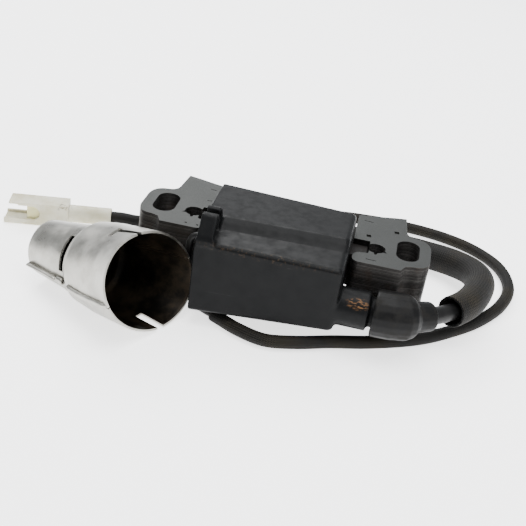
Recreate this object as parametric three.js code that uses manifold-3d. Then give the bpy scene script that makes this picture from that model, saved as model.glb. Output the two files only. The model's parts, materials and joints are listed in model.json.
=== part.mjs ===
// Flywheel ignition coil for a single-cylinder petrol engine.
// Millimetres, +Z up, resting on z = 0. +X runs along the coil towards its high-tension tower, and +Y
// points towards the flywheel. Lengths below are in the coil's own frame, whose x = 0, y = 0 lies midway
// between the two bolt slots; the whole group is moved at the end so that the origin is the middle of
// the footprint of everything except the free leads.
import * as THREE from 'three';
import { mergeVertices } from 'three/addons/utils/BufferGeometryUtils.js';
import Module from 'manifold-3d';

const wasm = await Module();
wasm.setup();

// ---- driving dimensions -----------------------------------------------------------------------------
const GAP = 0.3;                      // clearance between pieces that touch
const SLOT_PITCH = 79;                // between the centres of the two bolt slots
const SLOT = { width: 7.2, length: 13.4 };
const CORE = { top: 26.4, thick: 14, poleY: 18.8, cornerY: 23, poleRadius: 112 };
const BAR = { y: -2.5, width: 7.4, bottom: 13.4, top: 24.6, halfLength: 27 };
const CASE = { left: -23.3, right: 21.7, front: -27.2, top: 32.4, shelf: 30, wall: 1.3, endWall: 1.6 };
const TOWER = { y: -21.1, z: 14.65, radius: 6.05, end: 31, bore: 3.1, spigot: 4.7, spigotEnd: 36.5 };
const HV_CABLE = { diameter: 5.5 };
const HV_SLEEVE = { outer: 10, inner: 8.4 };
const KILL_WIRE = { diameter: 2.3 };
const KILL_SLEEVE = { outer: 4.3, inner: 3.1 };
const SHROUD = {
  mouth: [-33.4, -34.6, 16.973], azimuth: -26.5, tilt: 9.9, turn: -33, length: 44.4, sheet: 0.7,
};
const CONNECTOR = { rear: [-65.2, 22.4, 4.3], along: [-0.9715, -0.237] };
const FOOTPRINT_CENTRE = [-12.4, -14.4];

// ---- materials --------------------------------------------------------------------------------------
const finish = (color, roughness, metalness = 0) =>
  new THREE.MeshStandardMaterial({ color, roughness, metalness });
const MATERIALS = {
  steel: finish(0x77777a, 0.45, 0.9),
  bar: finish(0x2a2826, 0.6, 0.6),
  blackPlastic: finish(0x17181a, 0.42),
  resin: finish(0x101113, 0.3),
  bobbin: finish(0x2e3a33, 0.5),
  copper: finish(0xb06a3a, 0.35, 0.9),
  fineCopper: finish(0x9a5230, 0.4, 0.9),
  board: finish(0x23502f, 0.55),
  component: finish(0x15161a, 0.5),
  film: finish(0x8c3a22, 0.45),
  brass: finish(0xb8923f, 0.3, 0.95),
  rubber: finish(0x131314, 0.75),
  cable: finish(0x111112, 0.5),
  weave: finish(0x1b1a19, 0.85),
  nylon: finish(0xe2dcc0, 0.45),
  insert: finish(0xe0dba0, 0.5),
  tin: finish(0xb4b5b2, 0.3, 0.95),
  sheetMetal: finish(0xa6a29a, 0.32, 0.95),
  ceramic: finish(0xb9b2a2, 0.6),
};

// ---- solids -----------------------------------------------------------------------------------------
const product = new THREE.Group();

function place(name, geometry, material) {
  const mesh = new THREE.Mesh(geometry, material);
  mesh.name = name;
  product.add(mesh);
  return mesh;
}

function toManifold(geometry) {
  const bare = geometry.clone();
  bare.deleteAttribute('normal');
  bare.deleteAttribute('uv');
  const merged = mergeVertices(bare, 1e-4);
  return new wasm.Manifold(new wasm.Mesh({
    numProp: 3,
    vertProperties: new Float32Array(merged.attributes.position.array),
    triVerts: new Uint32Array(merged.index.array),
  }));
}

function toGeometry(manifold) {
  const mesh = manifold.getMesh();
  const geometry = new THREE.BufferGeometry();
  geometry.setAttribute('position', new THREE.BufferAttribute(mesh.vertProperties, 3));
  geometry.setIndex(new THREE.BufferAttribute(mesh.triVerts, 1));
  geometry.computeVertexNormals();
  return geometry;
}

const join = (first, ...others) =>
  toGeometry(others.reduce((solid, g) => solid.add(toManifold(g)), toManifold(first)));
const cut = (first, ...others) =>
  toGeometry(others.reduce((solid, g) => solid.subtract(toManifold(g)), toManifold(first)));

function boxBetween(low, high) {
  const size = high.map((value, i) => value - low[i]);
  const middle = high.map((value, i) => (value + low[i]) / 2);
  return new THREE.BoxGeometry(...size).translate(...middle);
}

function cylinderX(radius, x0, x1, y, z, sides = 24) {
  return new THREE.CylinderGeometry(radius, radius, x1 - x0, sides)
    .rotateZ(Math.PI / 2)
    .translate((x0 + x1) / 2, y, z);
}

function plate(shape, bottom, top, curveSegments = 8) {
  return new THREE.ExtrudeGeometry(shape, { depth: top - bottom, bevelEnabled: false, curveSegments })
    .translate(0, 0, bottom);
}

// A closed solid through rings of points. With loop = true the last ring joins the first, as in a tube
// wall; otherwise both ends are closed by a fan.
function skin(rings, loop = false) {
  const count = rings[0].length;
  const positions = rings.flat().flatMap((p) => [p.x, p.y, p.z]);
  const index = [];
  const steps = loop ? rings.length : rings.length - 1;
  for (let i = 0; i < steps; i += 1) {
    const a = i * count;
    const b = ((i + 1) % rings.length) * count;
    for (let j = 0; j < count; j += 1) {
      const k = (j + 1) % count;
      index.push(a + j, a + k, b + k, a + j, b + k, b + j);
    }
  }
  if (!loop) {
    const last = (rings.length - 1) * count;
    const ends = [[0, rings[0], false], [last, rings[rings.length - 1], true]];
    for (const [start, ring, forward] of ends) {
      const centre = ring.reduce((sum, p) => sum.add(p), new THREE.Vector3()).divideScalar(count);
      const hub = positions.length / 3;
      positions.push(centre.x, centre.y, centre.z);
      for (let j = 0; j < count; j += 1) {
        const k = (j + 1) % count;
        index.push(hub, start + (forward ? j : k), start + (forward ? k : j));
      }
    }
  }
  const geometry = new THREE.BufferGeometry();
  geometry.setAttribute('position', new THREE.Float32BufferAttribute(positions, 3));
  geometry.setIndex(index);
  return facingOut(geometry);
}

// Turns every face of a closed mesh over if its enclosed volume comes out negative.
function facingOut(geometry) {
  const p = geometry.attributes.position;
  const index = geometry.index.array;
  const [a, b, c] = [0, 1, 2].map(() => new THREE.Vector3());
  let volume = 0;
  for (let i = 0; i < index.length; i += 3) {
    a.fromBufferAttribute(p, index[i]);
    b.fromBufferAttribute(p, index[i + 1]);
    c.fromBufferAttribute(p, index[i + 2]);
    volume += a.dot(b.cross(c));
  }
  if (volume < 0) {
    for (let i = 0; i < index.length; i += 3) [index[i], index[i + 1]] = [index[i + 1], index[i]];
  }
  geometry.computeVertexNormals();
  return geometry;
}

// ---- laminated core ---------------------------------------------------------------------------------
const polePoint = (x) => CORE.poleY + (x * x - 20.3 * 20.3) / (2 * CORE.poleRadius) * 1.02;

// The mortise ends in a round relief with two small nibs: [degrees, radius] round its centre.
const KEYHOLE_ARC = [
  [-134, 3], [-115, 3], [-98, 3], [-94, 4.1], [-84, 4.1], [-78, 3], [-55, 3], [-36, 3], [-28, 4.2],
  [-18, 3], [5, 3], [28, 3], [52, 3], [76, 3], [100, 3], [120, 3], [134, 3],
];

// Plan outline of one wing for side = +1 (right) or -1 (left): pole face, shoulder, bolt lobe, front
// finger, and the mortise that takes the end of the centre bar.
function wingShape(side, innerX) {
  const shape = new THREE.Shape();
  const at = (x, y) => [side * x, y];
  shape.moveTo(...at(innerX, polePoint(innerX)));
  for (const x of [25, 30, 34]) shape.lineTo(...at(x, polePoint(x)));
  shape.lineTo(...at(37.8, CORE.cornerY));
  shape.lineTo(...at(38.5, 13));
  shape.quadraticCurveTo(...at(38.9, 10), ...at(41.8, 9.7));
  shape.quadraticCurveTo(...at(46.6, 9.2), ...at(46.7, 3));
  shape.lineTo(...at(46.7, -4.5));
  shape.quadraticCurveTo(...at(46.4, -9.9), ...at(41.5, -9.8));
  shape.lineTo(...at(39.2, -10.6));
  shape.lineTo(...at(38, -13.4));
  shape.lineTo(...at(innerX + 3, -13.4));
  shape.quadraticCurveTo(...at(innerX + 0.6, -13.2), ...at(innerX + 0.6, -10.5));
  shape.quadraticCurveTo(...at(innerX + 0.8, -7), ...at(innerX + 3.4, -6.9));
  const low = BAR.y - BAR.width / 2 - GAP;
  const high = BAR.y + BAR.width / 2 + GAP;
  const end = BAR.halfLength + GAP;
  shape.lineTo(...at(end, low));
  for (const [degrees, radius] of KEYHOLE_ARC) {
    const angle = THREE.MathUtils.degToRad(degrees);
    shape.lineTo(...at(end + 2.2 + radius * Math.cos(angle), BAR.y + radius * Math.sin(angle)));
  }
  shape.lineTo(...at(end, high));
  shape.lineTo(...at(innerX, high));
  shape.closePath();

  const slot = new THREE.Path();
  const r = SLOT.width / 2;
  const a = SLOT.length / 2 - r;
  const cx = side * SLOT_PITCH / 2;
  slot.moveTo(cx + r, -a);
  slot.lineTo(cx + r, a);
  slot.absarc(cx, a, r, 0, Math.PI, false);
  slot.lineTo(cx - r, -a);
  slot.absarc(cx, -a, r, Math.PI, 2 * Math.PI, false);
  shape.holes.push(slot);
  return shape;
}

function makeCore() {
  const bottom = CORE.top - CORE.thick;
  place('core_left_wing', plate(wingShape(-1, -CASE.left + GAP), bottom, CORE.top), MATERIALS.steel);
  place('core_right_wing', plate(wingShape(1, CASE.right + GAP), bottom, CORE.top), MATERIALS.steel);
  const half = BAR.width / 2;
  place('core_bar', boxBetween(
    [-BAR.halfLength, BAR.y - half, BAR.bottom],
    [BAR.halfLength, BAR.y + half, BAR.top],
  ), MATERIALS.bar);
}

// ---- moulded case -----------------------------------------------------------------------------------
// Cross-section of the case at x, in (y, z), drawn inset by a wall. The case tapers towards its closed
// right end: the hood over the core gets narrower and the floor rises.
function caseSection(x, inset = 0) {
  const t = (x - CASE.left) / (CASE.right - CASE.left);
  const mix = (a, b) => a + (b - a) * t;
  const back = mix(10.6, 7.5) - inset;
  const crease = mix(-17.2, -15.4) + inset * 0.7;
  const front = CASE.front + inset;
  const bottom = mix(4.8, 8.1) + inset;
  const top = CASE.top - inset;
  const shelf = CASE.shelf - inset;
  const outline = [
    [front, bottom + 1], [front + 1, bottom], [back - 3.5, bottom], [back, bottom + 4.5],
    [back, top - 1.4], [back - 0.4, top - 0.4], [back - 1.4, top],
    [crease + 3.6, top], [crease + 1.6, top - 0.8], [crease + 0.3, shelf + 0.6],
    [crease - 0.6, shelf], [front + 0.9, shelf - 0.6], [front, shelf - 1.5],
  ];
  return outline.map(([y, z]) => new THREE.Vector3(x, y, z));
}

function makeCase() {
  const { left, right, wall, endWall } = CASE;
  const outside = skin([
    caseSection(left), caseSection(left + 1.6), caseSection(right - 1.4),
    caseSection(right - 0.4, 0.4), caseSection(right, 1.4),
  ]);
  const inside = skin([caseSection(left - 1, wall), caseSection(right - endWall, wall)]);
  const half = BAR.width / 2 + GAP;
  const barHole = boxBetween(
    [right - 4, BAR.y - half, BAR.bottom - GAP],
    [right + 1, BAR.y + half, BAR.top + GAP],
  );
  const tower = cylinderX(TOWER.radius, right - 1.5, TOWER.end, TOWER.y, TOWER.z, 40);
  const spigot = cylinderX(TOWER.spigot, right - 1.5, TOWER.spigotEnd, TOWER.y, TOWER.z);
  const towerBore = cylinderX(TOWER.bore, right + 2.2, TOWER.spigotEnd + 1, TOWER.y, TOWER.z);
  const contactBore = cylinderX(1.5, right - 4, right + 3, TOWER.y, TOWER.z, 12);
  const shell = cut(join(outside, tower, spigot), inside, barHole, towerBore, contactBore);
  place('coil_case', join(shell, ...wireClip()), MATERIALS.blackPlastic);
}

// Prism from an outline in (y, z), between two places along x.
function prismX(outline, x0, x1) {
  const shape = new THREE.Shape(outline.map(([y, z]) => new THREE.Vector2(y, z)));
  return new THREE.ExtrudeGeometry(shape, { depth: x1 - x0, bevelEnabled: false })
    .applyMatrix4(new THREE.Matrix4().set(0, 0, 1, x0, 1, 0, 0, 0, 0, 1, 0, 0, 0, 0, 0, 1));
}

// Clip on the shelf at the open end, for the stop-switch wire: a foot along the front edge, a band that
// leans back from it, and a post on the hood, with a channel between the two.
function wireClip() {
  const x0 = CASE.left + 0.6;
  const foot = prismX([[-27.7, 28.2], [-27.7, 30.4], [-25.2, 30.4], [-25.2, 28.2]], x0 - 0.4, x0 + 5.6);
  const band = prismX([
    [-27.6, 29], [-25.4, 29], [-24.8, 31], [-22, 35], [-20.6, 35.8],
    [-21, 36.8], [-22.8, 36.4], [-27.2, 31.2],
  ], x0, x0 + 5);
  const post = prismX([
    [-19, 29.2], [-17, 29.2], [-16.2, 29.9], [-15, 30.9], [-14, 31.6], [-14.3, 33.8],
    [-15.6, 36.2], [-17, 37], [-18.4, 36.4], [-17.6, 34.2],
  ], x0 + 0.3, x0 + 4.8);
  return [foot, band, post];
}

function makePotting() {
  const clear = CASE.wall + GAP;
  const slab = skin([caseSection(CASE.left + 0.7, clear), caseSection(CASE.left + 3.6, clear)]);
  const half = BAR.width / 2 + GAP;
  const hole = boxBetween(
    [CASE.left - 1, BAR.y - half, BAR.bottom - GAP],
    [CASE.left + 6, BAR.y + half, BAR.top + GAP],
  );
  const wireHole = cylinderX(KILL_WIRE.diameter / 2 + GAP, CASE.left - 1, CASE.left + 6, -15.2, 25.2, 12);
  place('potting_resin', cut(slab, hole, wireHole), MATERIALS.resin);
}

// ---- windings on the centre bar ---------------------------------------------------------------------
// Octagonal ring around the bar at x, at the given offset from the bar's surface.
function barRing(x, offset) {
  const w = BAR.width / 2 + offset;
  const h = (BAR.top - BAR.bottom) / 2 + offset;
  const zc = (BAR.top + BAR.bottom) / 2;
  const c = 0.05 + offset * 0.85;
  const outline = [
    [w, h - c], [w - c, h], [c - w, h], [-w, h - c], [-w, c - h], [c - w, -h], [w - c, -h], [w, c - h],
  ];
  return outline.map(([y, z]) => new THREE.Vector3(x, BAR.y + y, zc + z));
}

// A sleeve round the bar whose outside follows steps of [x, offset].
const barSleeve = (inner, steps) => skin([
  ...steps.map(([x, offset]) => barRing(x, offset)),
  barRing(steps[steps.length - 1][0], inner),
  barRing(steps[0][0], inner),
], true);

function makeWindings() {
  const [x0, x1] = [-18.6, 18.6];
  place('primary_bobbin', barSleeve(0.3, [
    [x0, 1.9], [x0 + 1, 1.9], [x0 + 1, 0.9], [x1 - 1, 0.9], [x1 - 1, 1.9], [x1, 1.9],
  ]), MATERIALS.bobbin);
  place('primary_winding', barSleeve(1.2, [[x0 + 1.3, 1.9], [x1 - 1.3, 1.9]]), MATERIALS.copper);

  const chambers = 4;
  const rib = 1;
  const pitch = (x1 - x0 - rib) / chambers;
  const steps = [];
  for (let i = 0; i <= chambers; i += 1) {
    const x = x0 + i * pitch;
    steps.push([x, i === 0 ? 3.9 : 2.7], [x, 3.9], [x + rib, 3.9], [x + rib, 2.7]);
  }
  steps.shift();
  steps.pop();
  place('secondary_bobbin', barSleeve(2.2, steps), MATERIALS.bobbin);
  for (let i = 0; i < chambers; i += 1) {
    const start = x0 + i * pitch + rib + GAP;
    const winding = barSleeve(3, [[start, 3.8], [start + pitch - rib - 2 * GAP, 3.8]]);
    place(`secondary_winding_${i + 1}`, winding, MATERIALS.fineCopper);
  }
}

// ---- electronics and contacts inside the case -------------------------------------------------------
function makeModule() {
  place('module_board', boxBetween([-17, -25.2, 9.6], [14, -24, 26]), MATERIALS.board);
  place('power_transistor', boxBetween([-14, -23.7, 12], [-4, -19.6, 21.5]), MATERIALS.component);
  place('timing_capacitor', boxBetween([0, -23.7, 18.6], [9, -19.6, 25]), MATERIALS.film);
  place('bias_resistor', cylinderX(1.3, -1.5, 6, -22.3, 14, 10), MATERIALS.ceramic);
  const strap = prismX([
    [-23.6, 9.4], [-12.5, 9.4], [-12.5, 10.2], [-22.8, 10.2], [-22.8, 11.6], [-23.6, 11.6],
  ], -13, -9);
  place('ground_strap', strap, MATERIALS.tin);
  const stem = cylinderX(1, 16.4, 27.6, TOWER.y, TOWER.z, 12);
  const head = cylinderX(2.1, 15.4, 16.6, TOWER.y, TOWER.z, 12);
  place('hv_contact', join(stem, head), MATERIALS.brass);
}

// ---- routes -----------------------------------------------------------------------------------------
const curve = (points) =>
  new THREE.CatmullRomCurve3(points.map((p) => new THREE.Vector3(...p)), false, 'centripetal');

// The high-tension cable: out of the tower, round to the back, and down to the plug cap's arm.
const HV_ROUTE = curve([
  [28, -21.1, 14.65], [36, -21.1, 14.65], [42.4, -19.9, 14.6], [48.4, -17, 14.5], [53.4, -13.2, 14.3],
  [57.8, -7.8, 13.8], [61.8, -0.4, 12.9], [65, 9.8, 11.6], [66.2, 20.4, 10], [64, 29.8, 8.2],
  [58.4, 36.8, 6.5], [49.6, 41.2, 5.4], [38, 43, 5.15], [22, 42, 5.1], [4, 38.2, 5.1],
  [-12, 33, 5.1], [-25, 26.8, 5.1], [-35.6, 20.8, 5.1], [-43.2, 15.6, 5.1], [-48.6, 11.2, 5.12],
  [-52.1, 7.2, 5.6], [-54.83, 2.5, 6.53], [-57.16, -1.84, 7.39], [-60.43, -7.92, 8.59],
  [-64.15, -14.86, 9.95],
]);

// The stop-switch wire: out of the resin, down beside the shroud, under the case, round the front of
// the tower, behind the core and on to its connector.
const KILL_ROUTE = curve([
  [-20.5, -15.2, 25.2], [-23.9, -15.3, 25.2], [-26.3, -15.6, 24.3], [-27.1, -15.7, 21],
  [-26.9, -15.7, 15], [-26.3, -15.9, 8.6], [-25.2, -16.7, 4.6], [-22.8, -18.4, 2.6],
  [-19, -20.8, 2.25], [-15, -22.8, 2.25], [-7, -27.3, 2.25], [2, -29.9, 2.25], [11, -27.7, 2.25],
  [22, -23, 2.25], [33, -18.9, 2.25], [47.6, -11.3, 2.25], [57.6, -3.2, 2.25], [67.2, 7.2, 2.25],
  [75.2, 20.6, 2.25], [78.6, 34.6, 2.25], [75.6, 48.6, 2.25], [67, 58.6, 2.25], [55, 64.6, 2.25],
  [40, 67.2, 2.25], [22, 66.4, 2.25], [4, 62.4, 2.25], [-14, 55.4, 2.25], [-30, 46.2, 2.25],
  [-43, 36.6, 2.25], [-48.6, 31.4, 2.25], [-53, 27.5, 2.7], [-57.3, 24.6, 3.6],
  [-61.3, 23.35, 4.25], [-65.2, 22.4, 4.3], [-72.97, 20.5, 4.3],
]);

const subCurve = (route, from, to, points = 40) => new THREE.CatmullRomCurve3(
  Array.from({ length: points + 1 }, (_, i) => route.getPointAt(from + (to - from) * i / points)),
  false, 'centripetal',
);

function circleShape(radius, sides) {
  const points = [];
  for (let i = 0; i < sides; i += 1) {
    const angle = 2 * Math.PI * i / sides;
    points.push(new THREE.Vector2(radius * Math.cos(angle), radius * Math.sin(angle)));
  }
  return new THREE.Shape(points);
}

function tube(route, radius, steps, sides, innerRadius = 0) {
  const shape = circleShape(radius, sides);
  if (innerRadius > 0) shape.holes.push(new THREE.Path(circleShape(innerRadius, sides).getPoints()));
  return new THREE.ExtrudeGeometry(shape, { steps, bevelEnabled: false, extrudePath: route });
}

// ---- tower cap, cable and sleeves -------------------------------------------------------------------
// Rings of points round a route; each section is [distance along the route, radius].
function ringsAlong(route, sections, sides = 20) {
  return sections.map(([length, radius]) => {
    const u = length / route.getLength();
    const centre = route.getPointAt(u);
    const tangent = route.getTangentAt(u);
    const up = new THREE.Vector3(0, 0, 1);
    const across = new THREE.Vector3().crossVectors(up, tangent).normalize();
    const over = new THREE.Vector3().crossVectors(tangent, across);
    return Array.from({ length: sides }, (_, i) => {
      const angle = 2 * Math.PI * i / sides;
      return centre.clone()
        .addScaledVector(across, radius * Math.cos(angle))
        .addScaledVector(over, radius * Math.sin(angle));
    });
  });
}

function makeTowerCap() {
  const cableFit = HV_CABLE.diameter / 2 + GAP;
  const outside = [
    [4.3, 6.9], [4.9, 7.35], [10, 7.4], [14.4, 7.2], [16.1, 6.5], [17.2, 5.4], [17.5, 4.9],
    [22.4, 4.6], [23, 4.1],
  ];
  const inside = [23, 20.5, 18, 15.5, 13, 10.5, 8].map((length) => [length, cableFit]);
  const body = skin(ringsAlong(HV_ROUTE, [...outside, ...inside]), true);
  const socket = cylinderX(TOWER.spigot + GAP, TOWER.end, TOWER.spigotEnd + GAP, TOWER.y, TOWER.z);
  place('tower_cap', cut(body, socket), MATERIALS.rubber);
}

function makeLeads() {
  const hvLength = HV_ROUTE.getLength();
  const killLength = KILL_ROUTE.getLength();
  place('hv_cable', tube(HV_ROUTE, HV_CABLE.diameter / 2, 60, 10), MATERIALS.cable);
  const hvCovered = subCurve(HV_ROUTE, 31.5 / hvLength, 1 - 20 / hvLength);
  place('hv_sleeve', tube(hvCovered, HV_SLEEVE.outer / 2, 40, 12, HV_SLEEVE.inner / 2), MATERIALS.weave);
  place('kill_wire', tube(KILL_ROUTE, KILL_WIRE.diameter / 2, 80, 8), MATERIALS.cable);
  const covered = subCurve(KILL_ROUTE, 38 / killLength, 1 - 3 / killLength, 60);
  place('kill_sleeve', tube(covered, KILL_SLEEVE.outer / 2, 70, 8, KILL_SLEEVE.inner / 2), MATERIALS.weave);
}

// ---- connector on the stop-switch wire --------------------------------------------------------------
// Drawn with X along the connector from its rear and Z up: a round barrel that the sleeve goes into, a
// square block, and two prongs of unequal length with a mouth between them that is open at both sides.
function makeConnector() {
  const frame = new THREE.Group();
  frame.position.set(...CONNECTOR.rear);
  frame.rotation.z = Math.atan2(CONNECTOR.along[1], CONNECTOR.along[0]);
  product.add(frame);
  const put = (name, geometry, material) => {
    const mesh = new THREE.Mesh(geometry, material);
    mesh.name = name;
    frame.add(mesh);
  };
  const barrel = cylinderX(3.15, 0, 16, 0, 0, 24);
  const block = boxBetween([15, -3.7, -4.2], [37.4, 3.7, 4.2]);
  const mouth = boxBetween([27.4, -6, -2.1], [39, 6, 3]);
  const mouthEnd = new THREE.CylinderGeometry(2.55, 2.55, 12, 20).translate(27.4, 0, 0.45);
  const socket = boxBetween([16.6, -2.7, -2.9], [39, 2.7, 2.9]);
  const upperTip = boxBetween([35.6, -6, 1], [39, 6, 6]);
  const upperStep = boxBetween([32.4, -6, 1], [39, 6, 3.5]);
  const bore = cylinderX(KILL_SLEEVE.outer / 2 + GAP, -1, 18, 0, 0, 16);
  const solid = join(barrel, block);
  put('connector_housing', cut(solid, mouth, mouthEnd, socket, upperTip, upperStep, bore), MATERIALS.nylon);
  const insert = cut(
    boxBetween([17, -2.4, -2.6], [29.5, 2.4, 2.6]),
    boxBetween([16, -1.8, -1.2], [31, 1.8, 1.2]),
  );
  put('connector_insert', insert, MATERIALS.insert);
  put('connector_terminal', cut(
    boxBetween([17.6, -1.5, -0.9], [28.6, 1.5, 0.9]),
    boxBetween([20, -1, -0.45], [30, 1, 0.45]),
  ), MATERIALS.tin);
}

// ---- plug shroud and plug cap -----------------------------------------------------------------------
const rad = THREE.MathUtils.degToRad;
const ARM = { at: 37, dip: rad(10), end: 19, hole: 5.6 };   // the plug cap's side arm, behind the mouth
const shroudAxis = new THREE.Vector3(
  Math.cos(rad(SHROUD.tilt)) * Math.cos(rad(SHROUD.azimuth)),
  Math.cos(rad(SHROUD.tilt)) * Math.sin(rad(SHROUD.azimuth)),
  Math.sin(rad(SHROUD.tilt)),
);
const shroudAcross = new THREE.Vector3(-Math.sin(rad(SHROUD.azimuth)), Math.cos(rad(SHROUD.azimuth)), 0);
const shroudUp = new THREE.Vector3().crossVectors(shroudAxis, shroudAcross);

// Places geometry drawn with X along the axis from the mouth to the rear, Y up and Z across.
const shroudMatrix = new THREE.Matrix4()
  .makeBasis(shroudAxis.clone().negate(), shroudUp, shroudAcross)
  .setPosition(...SHROUD.mouth);

// Semi-axes of the sheet-metal outline at distance s behind the mouth: an oval mouth bent open, a barrel
// that tapers to a shallow neck, and a round tail.
const SHROUD_STATIONS = [
  [0, 20, 15.2], [8, 16.8, 14.9], [15, 14.9, 14.4], [21, 13.7, 13.5], [23, 13.3, 13.2],
  [24.8, 11.9, 11.8], [27.6, 11.5, 11.4], [29.4, 11.2, 11.1], [37, 10.2, 10.1],
  [SHROUD.length, 9.3, 9.2],
];

function shroudSize(s) {
  const next = SHROUD_STATIONS.findIndex(([at]) => at >= s);
  if (next <= 0) return SHROUD_STATIONS[0].slice(1);
  const [s0, a0, b0] = SHROUD_STATIONS[next - 1];
  const [s1, a1, b1] = SHROUD_STATIONS[next];
  const t = (s - s0) / (s1 - s0);
  return [a0 + (a1 - a0) * t, b0 + (b1 - b0) * t];
}

function shroudPoint(s, angle, inset) {
  const [a, b] = shroudSize(s);
  const turn = rad(SHROUD.turn);
  const x = (a - inset) * Math.cos(angle - turn);
  const y = (b - inset) * Math.sin(angle - turn);
  return new THREE.Vector3(
    s,
    x * Math.sin(turn) + y * Math.cos(turn),
    x * Math.cos(turn) - y * Math.sin(turn),
  );
}

// One half shell between two seams, as a closed sheet of metal.
function halfShell(from, to) {
  const stations = [0, 4, 8, 15, 21, 23, 24.8, 27.6, 29.4, 37, SHROUD.length];
  const steps = 16;
  const rings = stations.map((s) => {
    const outer = [];
    const inner = [];
    for (let i = 0; i <= steps; i += 1) {
      const angle = from + (to - from) * i / steps;
      outer.push(shroudPoint(s, angle, 0));
      inner.unshift(shroudPoint(s, angle, SHROUD.sheet));
    }
    return [...outer, ...inner];
  });
  return stripSkin(rings);
}

// Closes a lofted strip whose end rings are thin bands: quads across each band instead of a fan.
function stripSkin(rings) {
  const count = rings[0].length;
  const positions = rings.flat().flatMap((p) => [p.x, p.y, p.z]);
  const index = [];
  for (let i = 0; i < rings.length - 1; i += 1) {
    for (let j = 0; j < count; j += 1) {
      const k = (j + 1) % count;
      const [a, b] = [i * count, (i + 1) * count];
      index.push(a + j, b + k, a + k, a + j, b + j, b + k);
    }
  }
  for (const [start, flip] of [[0, false], [(rings.length - 1) * count, true]]) {
    for (let j = 0; j < count / 2 - 1; j += 1) {
      const quad = [j, j + 1, count - 2 - j, count - 1 - j].map((v) => start + v);
      const [p, q, r, t] = flip ? quad.reverse() : quad;
      index.push(p, q, r, p, r, t);
    }
  }
  const geometry = new THREE.BufferGeometry();
  geometry.setAttribute('position', new THREE.Float32BufferAttribute(positions, 3));
  geometry.setIndex(index);
  return facingOut(geometry);
}

function makeShroud() {
  const seamRight = rad(14);
  const seamLeft = rad(194);
  const slack = 0.014;
  const local = (geometry) => geometry.applyMatrix4(shroudMatrix);
  const radialBox = (s0, s1, angle, width, r0 = 9, r1 = 24) =>
    boxBetween([s0, r0, -width / 2], [s1, r1, width / 2]).rotateX(Math.PI / 2 - angle);
  const armHole = new THREE.CylinderGeometry(ARM.hole, ARM.hole, 20, 24).rotateX(Math.PI / 2)
    .translate(0, 0, 14).rotateX(ARM.dip).translate(ARM.at, 0, 0);

  const upper = halfShell(seamRight + slack, seamLeft - slack);
  const topSlit = radialBox(-2, 10, rad(101), 1.6);
  const topSlitEnd = radialBox(8.4, 10, rad(105), 5);
  const neckCuts = [126, 141, 156, 171].map((deg) => radialBox(25.2, 27.4, rad(deg), 4));
  const upperShell = cut(upper, topSlit, topSlitEnd, ...neckCuts, armHole);
  place('shroud_upper_shell', local(join(upperShell, ...seamFlange(seamLeft - 0.055))), MATERIALS.sheetMetal);

  const lower = halfShell(seamLeft + slack, seamRight + 2 * Math.PI - slack);
  const bottomSlit = radialBox(-2, 9, rad(-80), 2.4);
  const lowerShell = cut(lower, bottomSlit, armHole);
  place('shroud_lower_shell', local(lowerShell), MATERIALS.sheetMetal);
}

// Folded edge strips that stand out along a seam, one on the barrel and one on the tail.
function seamFlange(angle) {
  const strip = (stations) => skin(stations.map((s) => {
    const foot = shroudPoint(s, angle, 0.4);
    const out = new THREE.Vector3(0, foot.y, foot.z).normalize();
    const side = new THREE.Vector3(0, -out.z, out.y);
    const corner = (height, offset) =>
      foot.clone().addScaledVector(out, height).addScaledVector(side, offset);
    return [corner(0, 0.45), corner(2.2, 0.45), corner(2.2, -0.3), corner(0, -0.3)];
  }));
  return [strip([0.6, 4, 8, 15, 21]), strip([29.4, 37, SHROUD.length - 0.4])];
}

function makePlugCap() {
  const local = (geometry) => geometry.applyMatrix4(shroudMatrix);
  const body = new THREE.LatheGeometry([
    [0, 24], [7.4, 24], [8.2, 25], [8.2, 42], [7, 44.2], [0, 44.2],
  ].map(([r, s]) => new THREE.Vector2(r, s)), 24).rotateZ(-Math.PI / 2);
  const armPart = (top, bottom, from, to, sides) =>
    new THREE.CylinderGeometry(top, bottom, to - from, sides).rotateX(Math.PI / 2)
      .translate(0, 0, (from + to) / 2).rotateX(ARM.dip).translate(ARM.at, 0, 0);
  const arm = armPart(4.5, 5, 3, ARM.end, 20);
  const socket = cylinderX(4.4, 20, 33.6, 0, 0, 20);
  const inner = cylinderX(2.4, 30, 40, 0, 0, 16);
  const armBore = armPart(3.3, 3.1, 2.5, ARM.end + 1, 16);
  place('plug_cap_body', local(cut(join(body, arm), socket, inner, armBore)), MATERIALS.rubber);
  place('plug_resistor', local(cylinderX(2.1, 30.6, 34, 0, 0, 14)), MATERIALS.ceramic);
  const clip = cut(
    cylinderX(4, 25, 30.2, 0, 0, 20),
    cylinderX(3.2, 24.6, 30.6, 0, 0, 20),
    boxBetween([24.6, 0, -0.9], [30.6, 5, 0.9]),
  );
  place('plug_terminal_clip', local(clip), MATERIALS.brass);
}

makeCore();
makeCase();
makePotting();
makeWindings();
makeModule();
makeTowerCap();
makeLeads();
makeConnector();
makeShroud();
makePlugCap();

product.position.set(-FOOTPRINT_CENTRE[0], -FOOTPRINT_CENTRE[1], 0);

export default product;
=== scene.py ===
import json
import math

import bmesh
import bpy
import numpy as np
from mathutils import Matrix, Vector


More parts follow.
